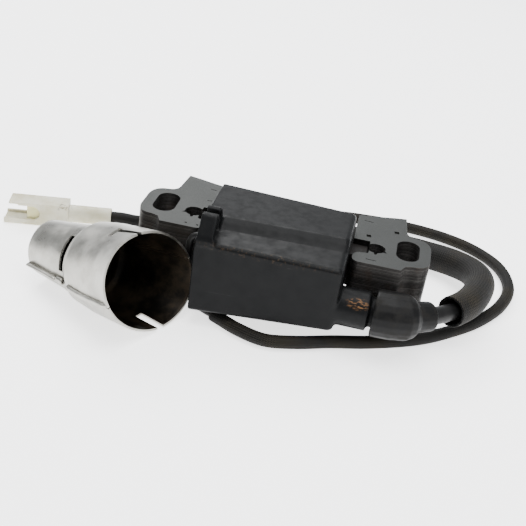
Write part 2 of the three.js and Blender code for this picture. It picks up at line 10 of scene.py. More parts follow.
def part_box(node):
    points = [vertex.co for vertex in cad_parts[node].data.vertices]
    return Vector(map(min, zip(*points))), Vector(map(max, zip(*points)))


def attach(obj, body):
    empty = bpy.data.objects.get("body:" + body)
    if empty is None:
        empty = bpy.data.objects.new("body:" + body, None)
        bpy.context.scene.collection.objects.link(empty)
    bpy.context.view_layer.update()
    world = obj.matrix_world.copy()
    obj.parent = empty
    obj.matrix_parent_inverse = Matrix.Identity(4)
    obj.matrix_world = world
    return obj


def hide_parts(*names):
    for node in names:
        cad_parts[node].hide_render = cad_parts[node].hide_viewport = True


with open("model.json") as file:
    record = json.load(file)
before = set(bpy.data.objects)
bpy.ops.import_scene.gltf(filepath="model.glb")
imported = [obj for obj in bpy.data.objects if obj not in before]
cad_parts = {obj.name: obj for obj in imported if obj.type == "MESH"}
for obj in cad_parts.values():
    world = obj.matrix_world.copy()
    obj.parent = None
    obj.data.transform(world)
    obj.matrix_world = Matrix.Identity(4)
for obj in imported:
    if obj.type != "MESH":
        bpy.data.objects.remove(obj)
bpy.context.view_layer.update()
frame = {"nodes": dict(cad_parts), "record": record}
nodes = frame["nodes"]

# ---- driving values ---------------------------------------------------------------------------------
# Lengths below are millimetres in the coil's own frame unless they say otherwise. COIL_ORIGIN is that
# frame's origin, midway between the two bolt slots, in the row frame.
MM = 0.001
COIL_ORIGIN = (12.4, 14.4, 0.0)
HV_CABLE_DIAMETER = 5.5
HV_SLEEVE = {"outer": 5.0, "inner": 4.2, "strands": 36, "relief": 0.34}
KILL_WIRE_DIAMETER = 2.3
KILL_SLEEVE = {"outer": 2.15, "inner": 1.55, "strands": 18, "relief": 0.26}
SHROUD = {
    "mouth": (-33.4, -34.6, 16.973), "azimuth": -26.5, "tilt": 9.9, "turn": -33, "length": 44.4,
    "sheet": 0.7,
}
CASE_FRONT, CASE_SHELF = -27.2, 30.0
HV_BARE = {"start": 31.5, "end": 20}
KILL_BARE = {"start": 38, "end": 3}
LAMINATION_PITCH, SHEET_FILL, SHEET_EDGE = 0.5, 0.93, 0.03
rng = np.random.default_rng(7)


def coil_point(x, y, z):
    """A point of the coil's own frame, in millimetres, as metres in the row frame."""
    return Vector((x + COIL_ORIGIN[0], y + COIL_ORIGIN[1], z + COIL_ORIGIN[2])) * MM


# ---- camera -----------------------------------------------------------------------------------------
def make_camera():
    """A camera in front of the coil, a little to its right, looking down at it and rolled clockwise."""
    elevation, azimuth, roll = math.radians(29.5), math.radians(-7.08), math.radians(8.42)
    forward = Vector((
        math.sin(azimuth) * math.cos(elevation),
        math.cos(azimuth) * math.cos(elevation),
        -math.sin(elevation),
    ))
    level = forward.cross(Vector((0, 0, 1))).normalized()
    right = math.cos(roll) * level + math.sin(roll) * level.cross(forward)
    up = right.cross(forward)
    data = bpy.data.cameras.new("camera")
    data.sensor_width = 36
    data.lens = 61.6
    data.clip_start = 0.01
    camera = bpy.data.objects.new("camera", data)
    camera.matrix_world = Matrix.Translation(coil_point(26.2, -255, 156.8)) @ Matrix(
        (right, up, -forward)
    ).transposed().to_4x4()
    bpy.context.scene.collection.objects.link(camera)
    bpy.context.scene.camera = camera


# ---- curves and tubes -------------------------------------------------------------------------------
def catmull_rom(points, per_span=24):
    """A centripetal Catmull-Rom curve through the points, as a fine polyline."""
    p = np.array(points, float)
    p = np.vstack([2 * p[0] - p[1], p, 2 * p[-1] - p[-2]])
    t = np.linspace(0, 1, per_span, endpoint=False)[:, None]
    line = []
    for a, b, c, d in zip(p[:-3], p[1:-2], p[2:-1], p[3:]):
        ab, bc, cd = (np.linalg.norm(q) ** 0.5 for q in (b - a, c - b, d - c))
        start = ((b - a) / ab - (c - a) / (ab + bc) + (c - b) / bc) * bc
        end = ((c - b) / bc - (d - b) / (bc + cd) + (d - c) / cd) * bc
        line.append(
            b + start * t + (3 * (c - b) - 2 * start - end) * t**2 + (2 * (b - c) + start + end) * t**3
        )
    return np.vstack([*line, p[-2:-1]])


def lengths_along(line):
    return np.concatenate([[0], np.cumsum(np.linalg.norm(np.diff(line, axis=0), axis=1))])


def stretch(line, start, end, step):
    """The part of a polyline between two lengths along it, with points about step apart."""
    along = lengths_along(line)
    at = np.linspace(start, end, max(2, math.ceil((end - start) / step) + 1))
    return np.stack([np.interp(at, along, line[:, k]) for k in range(3)], axis=1)


def rings_round(line):
    """For each point of a line, two unit vectors across it that turn as little as they can."""
    tangent = np.gradient(line, axis=0)
    tangent /= np.linalg.norm(tangent, axis=1)[:, None]
    side = np.cross(tangent[0], (0, 0, 1))
    across = []
    for t in tangent:
        side = side - (side @ t) * t
        side = side / np.linalg.norm(side)
        across.append(side)
    across = np.array(across)
    return across, np.cross(tangent, across)


def tube_points(line, radii):
    """Points round a line; radii has a row for each point of the line and a column for each side."""
    across, over = rings_round(line)
    angle = np.linspace(0, 2 * math.pi, radii.shape[1], endpoint=False)
    ring = across[:, None] * np.cos(angle)[:, None] + over[:, None] * np.sin(angle)[:, None]
    return line[:, None] + ring * radii[:, :, None]


def grid_faces(rows, columns, first=0, flip=False):
    """Quads between rows of a grid whose columns close on themselves."""
    i, j = np.meshgrid(np.arange(rows - 1), np.arange(columns), indexing="ij")
    k = (j + 1) % columns
    quads = np.stack([i * columns + j, i * columns + k, (i + 1) * columns + k, (i + 1) * columns + j], -1)
    quads = quads.reshape(-1, 4) + first
    return quads[:, ::-1] if flip else quads


def add_mesh(name, points_mm, faces, material):
    """A new piece from points in the coil's frame in millimetres; it rides on the one body."""
    mesh = bpy.data.meshes.new(name)
    points = (np.asarray(points_mm, float).reshape(-1, 3) + COIL_ORIGIN) * MM
    mesh.from_pydata(points.tolist(), [], [list(map(int, f)) for f in faces])
    mesh.validate()
    mesh.shade_smooth()
    piece = bpy.data.objects.new(name, mesh)
    bpy.context.scene.collection.objects.link(piece)
    return finish_piece(piece, material)


def finish_piece(piece, material):
    piece.data.materials.clear()
    piece.data.materials.append(material)
    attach(piece, "root")
    return piece


def apply_modifiers(piece):
    """Replaces the piece's mesh by what its modifiers make of it."""
    graph = bpy.context.evaluated_depsgraph_get()
    graph.update()
    mesh = bpy.data.meshes.new_from_object(piece.evaluated_get(graph))
    piece.modifiers.clear()
    piece.data = mesh
    return piece


def add_cord(name, line_mm, diameter_mm, material):
    """A round jacket as one open spline."""
    data = bpy.data.curves.new(name, "CURVE")
    data.dimensions = "3D"
    data.bevel_depth = diameter_mm / 2 * MM
    data.bevel_resolution = 6
    data.use_fill_caps = True
    spline = data.splines.new("POLY")
    spline.points.add(len(line_mm) - 1)
    for point, place in zip(spline.points, line_mm):
        point.co = (*coil_point(*place), 1)
    data.materials.append(material)
    piece = bpy.data.objects.new(name, data)
    bpy.context.scene.collection.objects.link(piece)
    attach(piece, "root")
    return piece


def braid_height(around, along):
    """Relief from 0 to 1 of two crossing sets of strands, each over one and under one."""
    a, b = around + along, around - along
    over = (np.floor(a) + np.floor(b)) % 2 == 0
    rise_a = np.cos(math.pi * (a % 1 - 0.5))
    rise_b = np.cos(math.pi * (b % 1 - 0.5))
    top_a = rise_a**0.7 * (0.55 + 0.45 * rise_b)
    top_b = rise_b**0.7 * (0.55 + 0.45 * rise_a)
    return np.where(over, top_a, top_b)


def add_sleeve(name, line, size, material):
    """A braided sleeve round a line: relief outside, a plain inside and slightly ragged cut ends."""
    strands, samples = size["strands"], 3
    sides = strands * samples
    cell = 2 * math.pi * size["outer"] / strands
    line = stretch(line, 0, lengths_along(line)[-1], cell / samples)
    around = np.arange(sides) / samples
    along = lengths_along(line) / cell
    height = braid_height(around[None, :] + 0.17, along[:, None] + 0.11)
    slack = 1 + 0.012 * np.sin(along[:, None] * 0.21) + 0.01 * np.sin(along[:, None] * 0.083 + 1.3)
    outside = size["outer"] * np.minimum(slack, 1.0) - size["relief"] * (1 - height)
    outer = tube_points(line, outside)
    inner = tube_points(line, np.full_like(outside, size["inner"]))
    tangents = np.gradient(line, axis=0)
    for end, sign in ((0, -1), (-1, 1)):
        direction = tangents[end] / np.linalg.norm(tangents[end]) * sign
        fray = rng.uniform(0, 0.5, sides)[:, None] * direction
        outer[end] += fray
        inner[end] += fray * 0.6
    rows = len(line)
    count = rows * sides
    rim = np.arange(sides)
    following = (rim + 1) % sides
    last = (rows - 1) * sides
    start_rim = np.stack([rim, count + rim, count + following, following], -1)
    end_rim = np.stack([last + rim, last + following, count + last + following, count + last + rim], -1)
    faces = np.vstack([
        grid_faces(rows, sides, flip=True),
        grid_faces(rows, sides, first=count),
        start_rim[:, ::-1],
        end_rim[:, ::-1],
    ])
    points = np.vstack([outer.reshape(-1, 3), inner.reshape(-1, 3)])
    piece = add_mesh(name, points, faces, material)
    # strand height per point; the sleeve's material paints shade where it is low, and the inside gets 0, so
    # it is painted near black all over
    weave = piece.data.attributes.new("weave", "FLOAT", "POINT")
    raised = np.broadcast_to(height, (rows, sides)).ravel()
    weave.data.foreach_set("value", np.concatenate([raised, np.zeros(count)]))
    return piece


# ---- materials --------------------------------------------------------------------------------------
def node(tree, kind, inputs=None, **settings):
    """Adds a shader node; an input is a value or another node's output."""
    made = tree.nodes.new(kind)
    for key, value in settings.items():
        setattr(made, key, value)
    for key, value in (inputs or {}).items():
        if isinstance(value, bpy.types.NodeSocket):
            tree.links.new(value, made.inputs[key])
        else:
            made.inputs[key].default_value = value
    return made


def new_material(name, **shader_values):
    material = bpy.data.materials.new(name)
    material.use_nodes = True
    shader = material.node_tree.nodes["Principled BSDF"]
    for key, value in shader_values.items():
        shader.inputs[key.replace("_", " ")].default_value = value
    return material, material.node_tree, shader


def millimetres(tree):
    """Object coordinates, in millimetres of the row frame."""
    coordinates = node(tree, "ShaderNodeTexCoord").outputs["Object"]
    scaled = node(tree, "ShaderNodeVectorMath", {0: coordinates, "Scale": 1000.0}, operation="SCALE")
    return scaled.outputs[0]


def noise(tree, place, per_mm, detail=4.0, roughness=0.55, stretch_by=None):
    """Noise from 0 to 1 with about per_mm features in a millimetre."""
    if stretch_by is not None:
        stretched = node(tree, "ShaderNodeVectorMath", {0: place, 1: stretch_by}, operation="MULTIPLY")
        place = stretched.outputs[0]
    made = node(
        tree, "ShaderNodeTexNoise",
        {"Vector": place, "Scale": per_mm, "Detail": detail, "Roughness": roughness},
    )
    return made.outputs["Fac"]


def between(tree, value, low, high, out_low=0.0, out_high=1.0):
    """Maps low..high to out_low..out_high, with a soft start and end."""
    made = node(
        tree, "ShaderNodeMapRange",
        {"Value": value, "From Min": low, "From Max": high, "To Min": out_low, "To Max": out_high},
        interpolation_type="SMOOTHSTEP",
    )
    return made.outputs["Result"]


def math_node(tree, operation, a, b=0.0):
    return node(tree, "ShaderNodeMath", {0: a, 1: b}, operation=operation).outputs[0]


def product(tree, *values):
    result = values[0]
    for value in values[1:]:
        result = math_node(tree, "MULTIPLY", result, value)
    return result


def blend_colors(tree, factor, a, b):
    made = node(tree, "ShaderNodeMix", data_type="RGBA")
    for socket, value in ((made.inputs[0], factor), (made.inputs[6], a), (made.inputs[7], b)):
        if isinstance(value, bpy.types.NodeSocket):
            tree.links.new(value, socket)
        elif isinstance(value, tuple):
            socket.default_value = (*value, 1.0)
        else:
            socket.default_value = value
    return made.outputs[2]


def set_bump(tree, shader, height, depth_mm, strength=1.0):
    made = node(
        tree, "ShaderNodeBump", {"Height": height, "Distance": depth_mm * MM, "Strength": strength}
    )
    tree.links.new(made.outputs["Normal"], shader.inputs["Normal"])


def near(tree, place, centre, radii):
    """1 at a point of the coil's frame, falling to 0 at an ellipsoid round it."""
    middle = coil_point(*centre) / MM
    away = node(tree, "ShaderNodeVectorMath", {0: place, 1: middle}, operation="SUBTRACT").outputs[0]
    scaled = node(tree, "ShaderNodeVectorMath", {0: away, 1: radii}, operation="DIVIDE").outputs[0]
    distance = node(tree, "ShaderNodeVectorMath", {0: scaled}, operation="LENGTH").outputs["Value"]
    return between(tree, distance, 0.3, 1.0, 1.0, 0.0)


def axis_of(tree, place, axis):
    return node(tree, "ShaderNodeSeparateXYZ", {0: place}).outputs[axis]


def link(tree, value, socket):
    tree.links.new(value, socket)


def lamination_steel():
    """Stamped silicon steel: satin grey faces, and sheet edges that differ a little from one another."""
    material, tree, shader = new_material("lamination_steel", Metallic=0.85, Specular_IOR_Level=0.4)
    place = millimetres(tree)
    layer = math_node(tree, "FLOOR", math_node(tree, "DIVIDE", axis_of(tree, place, "Z"), LAMINATION_PITCH))
    shade = node(tree, "ShaderNodeTexWhiteNoise", {"W": layer}, noise_dimensions="1D").outputs["Value"]
    edge = blend_colors(tree, shade, (0.02, 0.018, 0.017), (0.06, 0.057, 0.054))
    stain = between(tree, noise(tree, place, 0.16, 5), 0.5, 0.7)
    edge = blend_colors(tree, product(tree, stain, 0.5), edge, (0.03, 0.018, 0.012))
    grain = noise(tree, place, 2.6, 6, 0.7)
    face = blend_colors(tree, grain, (0.03, 0.031, 0.03), (0.062, 0.064, 0.061))
    soft = between(tree, noise(tree, place, 0.09, 3), 0.35, 0.7)
    face = blend_colors(tree, product(tree, soft, 0.45), face, (0.036, 0.038, 0.036))
    up = node(tree, "ShaderNodeNewGeometry").outputs["Normal"]
    upward = between(tree, math_node(tree, "ABSOLUTE", axis_of(tree, up, "Z")), 0.6, 0.9)
    link(tree, blend_colors(tree, upward, edge, face), shader.inputs["Base Color"])
    link(tree, between(tree, grain, 0.3, 0.8, 0.42, 0.62), shader.inputs["Roughness"])
    set_bump(tree, shader, noise(tree, place, 4.0, 5, 0.7), 0.03, 0.5)
    return material


def filmed_steel():
    """The centre bar, dark with resin."""
    material, tree, shader = new_material("filmed_steel", Metallic=0.2, Specular_IOR_Level=0.1)
    place = millimetres(tree)
    blotch = noise(tree, place, 0.4, 5)
    color = blend_colors(tree, blotch, (0.004, 0.0036, 0.0034), (0.02, 0.018, 0.017))
    link(tree, color, shader.inputs["Base Color"])
    link(tree, between(tree, blotch, 0.3, 0.7, 0.35, 0.7), shader.inputs["Roughness"])
    set_bump(tree, shader, blotch, 0.1, 0.5)
    return material


def case_plastic():
    """Satin black moulding with handling marks, dust along its front edge and clay on the tower."""
    material, tree, shader = new_material("case_plastic", Specular_IOR_Level=0.09)
    place = millimetres(tree)
    cloud = noise(tree, place, 0.12, 5, 0.6)
    color = blend_colors(tree, cloud, (0.0018, 0.0019, 0.0021), (0.0045, 0.0047, 0.005))
    up = axis_of(tree, node(tree, "ShaderNodeNewGeometry").outputs["Normal"], "Z")
    film = product(tree, between(tree, up, 0.3, 1.0), between(tree, noise(tree, place, 0.3, 6), 0.35, 0.75))
    color = blend_colors(tree, product(tree, film, 0.1), color, (0.022, 0.023, 0.0225))
    rim = near(tree, place, (-2, CASE_FRONT, CASE_SHELF - 1), (30, 2.6, 2.2))
    specks = between(tree, noise(tree, place, 0.9, 8, 0.75), 0.52, 0.66)
    color = blend_colors(tree, product(tree, rim, specks, 0.55), color, (0.07, 0.045, 0.025))
    clay_place = near(tree, place, (27.5, -25.3, 18.8), (4.6, 4.0, 2.0))
    clay = between(tree, noise(tree, place, 0.8, 6, 0.7, (0.7, 1, 2.6)), 0.5, 0.6)
    color = blend_colors(tree, product(tree, clay_place, clay), color, (0.13, 0.066, 0.028))
    scratches = between(tree, noise(tree, place, 1.1, 3, 0.5, (0.14, 1.6, 1.6)), 0.7, 0.76)
    color = blend_colors(tree, product(tree, scratches, 0.3), color, (0.03, 0.03, 0.03))
    link(tree, color, shader.inputs["Base Color"])
    roughness = between(tree, noise(tree, place, 0.35, 5), 0.3, 0.75, 0.34, 0.52)
    link(tree, roughness, shader.inputs["Roughness"])
    set_bump(tree, shader, noise(tree, place, 3.2, 3, 0.6), 0.02, 0.45)
    return material


def potting():
    material, tree, shader = new_material("potting", Roughness=0.22)
    place = millimetres(tree)
    cloud = noise(tree, place, 0.2, 3)
    color = blend_colors(tree, cloud, (0.003, 0.003, 0.0033), (0.009, 0.0086, 0.0082))
    link(tree, color, shader.inputs["Base Color"])
    set_bump(tree, shader, noise(tree, place, 0.25, 2), 0.35, 0.6)
    return material


def boot_rubber():
    """Matt rubber with a grey-brown bloom of dust."""
    material, tree, shader = new_material("boot_rubber", Specular_IOR_Level=0.12)
    place = millimetres(tree)
    bloom = between(tree, noise(tree, place, 0.22, 6, 0.65), 0.4, 0.75)
    color = blend_colors(tree, product(tree, bloom, 0.7), (0.0025, 0.0025, 0.0026), (0.012, 0.0108, 0.009))
    specks = between(tree, noise(tree, place, 1.6, 5, 0.7), 0.66, 0.74)
    color = blend_colors(tree, product(tree, specks, 0.5), color, (0.06, 0.05, 0.036))
    link(tree, color, shader.inputs["Base Color"])
    link(tree, between(tree, bloom, 0.0, 1.0, 0.42, 0.72), shader.inputs["Roughness"])
    set_bump(tree, shader, noise(tree, place, 2.2, 4, 0.6), 0.04, 0.5)
    return material


def cable_jacket():
    material, tree, shader = new_material("cable_jacket", Specular_IOR_Level=0.2)
    place = millimetres(tree)
    cloud = noise(tree, place, 0.3, 5)
    color = blend_colors(tree, cloud, (0.0022, 0.0022, 0.0023), (0.006, 0.0058, 0.0057))
    link(tree, color, shader.inputs["Base Color"])
    link(tree, between(tree, cloud, 0.3, 0.7, 0.3, 0.48), shader.inputs["Roughness"])
    set_bump(tree, shader, noise(tree, place, 1.4, 3), 0.03, 0.4)
    return material


def woven_sleeve():
    """Varnished braid: dark yarn, painted shade in the hollows between strands and on the inside, patches
    of dust and a few light broken fibres.
    """
    material, tree, shader = new_material("woven_sleeve", Specular_IOR_Level=0.12, Sheen_Weight=0.03)
    place = millimetres(tree)
    yarn = noise(tree, place, 2.4, 6, 0.75)
    raised = node(tree, "ShaderNodeAttribute", attribute_name="weave").outputs["Fac"]
    color = blend_colors(tree, yarn, (0.012, 0.0115, 0.011), (0.045, 0.0425, 0.038))
    dust = between(tree, noise(tree, place, 0.07, 4), 0.45, 0.7)
    color = blend_colors(tree, product(tree, dust, 0.6), color, (0.06, 0.047, 0.026))
    # painted shade: near black where the strand height is low, in the hollows of the weave, and on the
    # whole inside, whose height is 0
    color = blend_colors(tree, between(tree, raised, 0.5, 0.97), (0.0006, 0.0006, 0.0006), color)
    fibres = between(tree, noise(tree, place, 1.3, 8, 0.8), 0.66, 0.74)
    color = blend_colors(tree, product(tree, fibres, raised, 0.5), color, (0.12, 0.112, 0.1))
    link(tree, color, shader.inputs["Base Color"])
    link(tree, between(tree, yarn, 0.3, 0.75, 0.5, 0.8), shader.inputs["Roughness"])
    set_bump(tree, shader, noise(tree, place, 5.0, 4, 0.7), 0.06, 0.6)
    return material


def milky_nylon(name, clean, worn):
    """Natural nylon that lets light in, with brown dirt in its corner behind the prongs."""
    material, tree, shader = new_material(
        name, Subsurface_Weight=0.35, Subsurface_Scale=0.0015, Specular_IOR_Level=0.45
    )
    shader.inputs["Subsurface Radius"].default_value = (1.0, 0.85, 0.55)
    place = millimetres(tree)
    cloud = noise(tree, place, 0.14, 4)
    color = blend_colors(tree, between(tree, cloud, 0.35, 0.7), clean, worn)
    dirt_place = near(tree, place, (-80.5, 17.0, 7.5), (3.4, 6, 3.5))
    dirt = between(tree, noise(tree, place, 0.55, 7, 0.7), 0.52, 0.64)
    color = blend_colors(tree, product(tree, dirt_place, dirt, 0.9), color, (0.05, 0.022, 0.01))
    fine = between(tree, noise(tree, place, 0.8, 7, 0.75), 0.62, 0.76)
    color = blend_colors(tree, product(tree, fine, 0.3), color, (0.32, 0.24, 0.15))
    link(tree, color, shader.inputs["Base Color"])
    link(tree, between(tree, cloud, 0.3, 0.7, 0.36, 0.55), shader.inputs["Roughness"])
    set_bump(tree, shader, noise(tree, place, 1.5, 3), 0.03, 0.4)
    return material


def plated_sheet():
    """Satin plated steel outside, with soft blotches, faint draw lines and patches of brown tarnish."""
    material, tree, shader = new_material("plated_sheet", Metallic=1.0)
    place = millimetres(tree)
    blotch = noise(tree, place, 0.11, 5, 0.6)
    color = blend_colors(tree, between(tree, blotch, 0.35, 0.68), (0.27, 0.262, 0.235), (0.42, 0.41, 0.375))
    tarnish = between(tree, noise(tree, place, 0.3, 7, 0.7), 0.58, 0.76)
    color = blend_colors(tree, product(tree, tarnish, 0.4), color, (0.16, 0.125, 0.085))
    link(tree, color, shader.inputs["Base Color"])
    link(tree, between(tree, blotch, 0.3, 0.75, 0.26, 0.46), shader.inputs["Roughness"])
    lines = noise(tree, place, 0.9, 4, 0.6, (0.3, 0.3, 3.0))
    set_bump(tree, shader, lines, 0.03, 0.3)
    return material


def painted_shade_inner_sheet():
    """The inside of the shroud: near black with dark brown patches, painted shade for the dim inside of the
    tube.
    """
    material, tree, shader = new_material("painted_shade_inner_sheet", Metallic=0.8)
    place = millimetres(tree)
    blotch = noise(tree, place, 0.13, 5, 0.6)
    browned = between(tree, blotch, 0.35, 0.7)
    # painted shade: near black to dark brown for the dim inside of the shroud
    color = blend_colors(tree, browned, (0.004, 0.0032, 0.0024), (0.03, 0.021, 0.012))
    link(tree, color, shader.inputs["Base Color"])
    link(tree, between(tree, blotch, 0.3, 0.75, 0.34, 0.55), shader.inputs["Roughness"])
    set_bump(tree, shader, noise(tree, place, 0.8, 4), 0.03, 0.3)
    return material


def plain(name, dark, light, per_mm, metallic, roughness, depth_mm):
    """A material with cloudy colour and a fine relief, for the pieces inside."""
    material, tree, shader = new_material(name, Metallic=metallic)
    place = millimetres(tree)
    cloud = noise(tree, place, per_mm, 5)
    link(tree, blend_colors(tree, cloud, dark, light), shader.inputs["Base Color"])
    link(tree, between(tree, cloud, 0.3, 0.7, roughness, roughness + 0.15), shader.inputs["Roughness"])
    set_bump(tree, shader, noise(tree, place, per_mm * 3, 3), depth_mm, 0.5)
    return material


def wound_wire(name, dark, light, turns_per_mm):
    """Enamelled copper turns laid side by side along the bar, with painted shade in the groove between
    turns.
    """
    material, tree, shader = new_material(name, Metallic=0.9, Roughness=0.35)
    place = millimetres(tree)
    phase = product(tree, axis_of(tree, place, "X"), 2 * math.pi * turns_per_mm)
    turn = between(tree, math_node(tree, "SINE", phase), -1.0, 1.0)
    # painted shade: the colour goes from copper on each turn's crest to dark brown in the groove between
    # turns
    link(tree, blend_colors(tree, turn, dark, light), shader.inputs["Base Color"])
    set_bump(tree, shader, turn, 0.3 / turns_per_mm, 0.8)
    return material


MATERIALS = {
    "lamination_steel": lamination_steel(),
    "core_bar_steel": filmed_steel(),
    "case_plastic": case_plastic(),
    "potting": potting(),
    "boot_rubber": boot_rubber(),
    "cable_jacket": cable_jacket(),
    "woven_sleeve": woven_sleeve(),
    "nylon": milky_nylon("nylon", (0.56, 0.54, 0.43), (0.44, 0.41, 0.28)),
    "insert_plastic": milky_nylon("insert_plastic", (0.66, 0.63, 0.36), (0.58, 0.54, 0.27)),
    "shroud_steel": plated_sheet(),
    "bobbin_plastic": plain("bobbin_plastic", (0.05, 0.08, 0.06), (0.1, 0.14, 0.11), 0.3, 0.0, 0.4, 0.02),
    "thick_copper": wound_wire("thick_copper", (0.18, 0.06, 0.02), (0.62, 0.27, 0.12), 1.4),
    "fine_copper": wound_wire("fine_copper", (0.14, 0.05, 0.02), (0.5, 0.2, 0.09), 5.0),
    "circuit_board": plain("circuit_board", (0.02, 0.1, 0.045), (0.04, 0.17, 0.07), 0.5, 0.0, 0.35, 0.02),
    "black_component": plain(
        "black_component", (0.012, 0.012, 0.013), (0.03, 0.03, 0.032), 0.8, 0.0, 0.45, 0.03
    ),
    "film_component": plain("film_component", (0.25, 0.05, 0.02), (0.42, 0.12, 0.05), 0.4, 0.0, 0.25, 0.05),
    "ceramic": plain("ceramic", (0.4, 0.36, 0.28), (0.56, 0.52, 0.43), 0.7, 0.0, 0.55, 0.04),
    "tinned_metal": plain("tinned_metal", (0.5, 0.5, 0.48), (0.7, 0.7, 0.68), 0.5, 1.0, 0.28, 0.02),
    "brass": plain("brass", (0.5, 0.33, 0.1), (0.68, 0.48, 0.18), 0.4, 1.0, 0.28, 0.02),
}


# ---- leads ------------------------------------------------------------------------------------------
HV_ROUTE = catmull_rom([
    (28, -21.1, 14.65), (36, -21.1, 14.65), (42.4, -19.9, 14.6), (48.4, -17, 14.5), (53.4, -13.2, 14.3),
    (57.8, -7.8, 13.8), (61.8, -0.4, 12.9), (65, 9.8, 11.6), (66.2, 20.4, 10), (64, 29.8, 8.2),
    (58.4, 36.8, 6.5), (49.6, 41.2, 5.4), (38, 43, 5.15), (22, 42, 5.1), (4, 38.2, 5.1),
    (-12, 33, 5.1), (-25, 26.8, 5.1), (-35.6, 20.8, 5.1), (-43.2, 15.6, 5.1), (-48.6, 11.2, 5.12),
    (-52.1, 7.2, 5.6), (-54.83, 2.5, 6.53), (-57.16, -1.84, 7.39), (-60.43, -7.92, 8.59),
    (-64.15, -14.86, 9.95),
])
KILL_ROUTE = catmull_rom([
    (-20.5, -15.2, 25.2), (-23.9, -15.3, 25.2), (-26.3, -15.6, 24.3), (-27.1, -15.7, 21),
    (-26.9, -15.7, 15), (-26.3, -15.9, 8.6), (-25.2, -16.7, 4.6), (-22.8, -18.4, 2.6),
    (-19, -20.8, 2.25), (-15, -22.8, 2.25), (-7, -27.3, 2.25), (2, -29.9, 2.25), (11, -27.7, 2.25),
    (22, -23, 2.25), (33, -18.9, 2.25), (47.6, -11.3, 2.25), (57.6, -3.2, 2.25), (67.2, 7.2, 2.25),
    (75.2, 20.6, 2.25), (78.6, 34.6, 2.25), (75.6, 48.6, 2.25), (67, 58.6, 2.25), (55, 64.6, 2.25),
    (40, 67.2, 2.25), (22, 66.4, 2.25), (4, 62.4, 2.25), (-14, 55.4, 2.25), (-30, 46.2, 2.25),
    (-43, 36.6, 2.25), (-48.6, 31.4, 2.25), (-53, 27.5, 2.7), (-57.3, 24.6, 3.6),
    (-61.3, 23.35, 4.25), (-65.2, 22.4, 4.3), (-72.97, 20.5, 4.3),
])


def make_leads():
    """The two free leads, each a jacket in a woven sleeve that leaves its ends bare."""
    hv_length = lengths_along(HV_ROUTE)[-1]
    kill_length = lengths_along(KILL_ROUTE)[-1]
    hv_line = stretch(HV_ROUTE, 0, hv_length, 1.0)
    kill_line = stretch(KILL_ROUTE, 0, kill_length, 1.0)
    hv = add_cord("hv_lead", hv_line, HV_CABLE_DIAMETER, MATERIALS["cable_jacket"])
    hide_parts("hv_cable")
    hv_cover = stretch(HV_ROUTE, HV_BARE["start"], hv_length - HV_BARE["end"], 0.3)
    hv_sleeve = add_sleeve(
        "hv_woven_sleeve", hv_cover, HV_SLEEVE, MATERIALS["woven_sleeve"]
    )
    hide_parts("hv_sleeve")
    kill = add_cord("stop_lead", kill_line, KILL_WIRE_DIAMETER, MATERIALS["cable_jacket"])
    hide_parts("kill_wire")
    kill_cover = stretch(KILL_ROUTE, KILL_BARE["start"], kill_length - KILL_BARE["end"], 0.25)
    kill_sleeve = add_sleeve(
        "stop_lead_sleeve", kill_cover, KILL_SLEEVE, MATERIALS["woven_sleeve"]
    )
    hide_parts("kill_sleeve")


# ---- laminated core ---------------------------------------------------------------------------------
def top_outlines(node_name):
    """The outer and inner outlines of a flat-topped CAD solid's top face, as loops of (x, y) in metres."""
    shape = bmesh.new()
    shape.from_mesh(nodes[node_name].data)
    bmesh.ops.remove_doubles(shape, verts=shape.verts, dist=2e-6)
    top = max(v.co.z for v in shape.verts)
    faces = {f for f in shape.faces if f.normal.z > 0.99 and abs(f.calc_center_median().z - top) < 1e-5}
    following = {}
    for face in faces:
        for loop in face.loops:
            if sum(other in faces for other in loop.edge.link_faces) == 1:
                following[loop.vert] = loop.link_loop_next.vert
    outlines = []
    while following:
        start, current = following.popitem()
        outline = [start.co.xy.copy()]
        while current is not start:
            outline.append(current.co.xy.copy())
            current = following.pop(current)
        outlines.append(outline)
    shape.free()
    return outlines


def rectangle(x, y, width, height, turn=0.0):
    """A small rectangular outline in the coil's frame, as points in metres."""
    corners = [(-1, -1), (-1, 1), (1, 1), (1, -1)]
    c, s = math.cos(turn), math.sin(turn)
    return [
        coil_point(x + (i * width * c - j * height * s) / 2, y + (i * width * s + j * height * c) / 2, 0).xy
        for i, j in corners
    ]


def sheet_mesh(outlines, low, high, shift, edge=0.0):
    """One stamped sheet as a mesh."""
    data = bpy.data.curves.new("sheet", "CURVE")
    data.dimensions = "2D"
    data.fill_mode = "BOTH"
    data.extrude = (high - low) / 2 - edge
    data.bevel_depth = edge
    data.bevel_resolution = 1
    data.offset = -edge
    for outline in outlines:
        spline = data.splines.new("POLY")
        spline.points.add(len(outline) - 1)
        spline.use_cyclic_u = True
        for point, place in zip(spline.points, outline):
            point.co = (place.x + shift[0], place.y + shift[1], 0, 1)
    holder = bpy.data.objects.new("sheet", data)
    bpy.context.scene.collection.objects.link(holder)
    graph = bpy.context.evaluated_depsgraph_get()
    graph.update()
    mesh = bpy.data.meshes.new_from_object(holder.evaluated_get(graph))
    mesh.transform(Matrix.Translation((0, 0, (low + high) / 2)))
    bpy.data.objects.remove(holder)
    bpy.data.curves.remove(data)
    return mesh


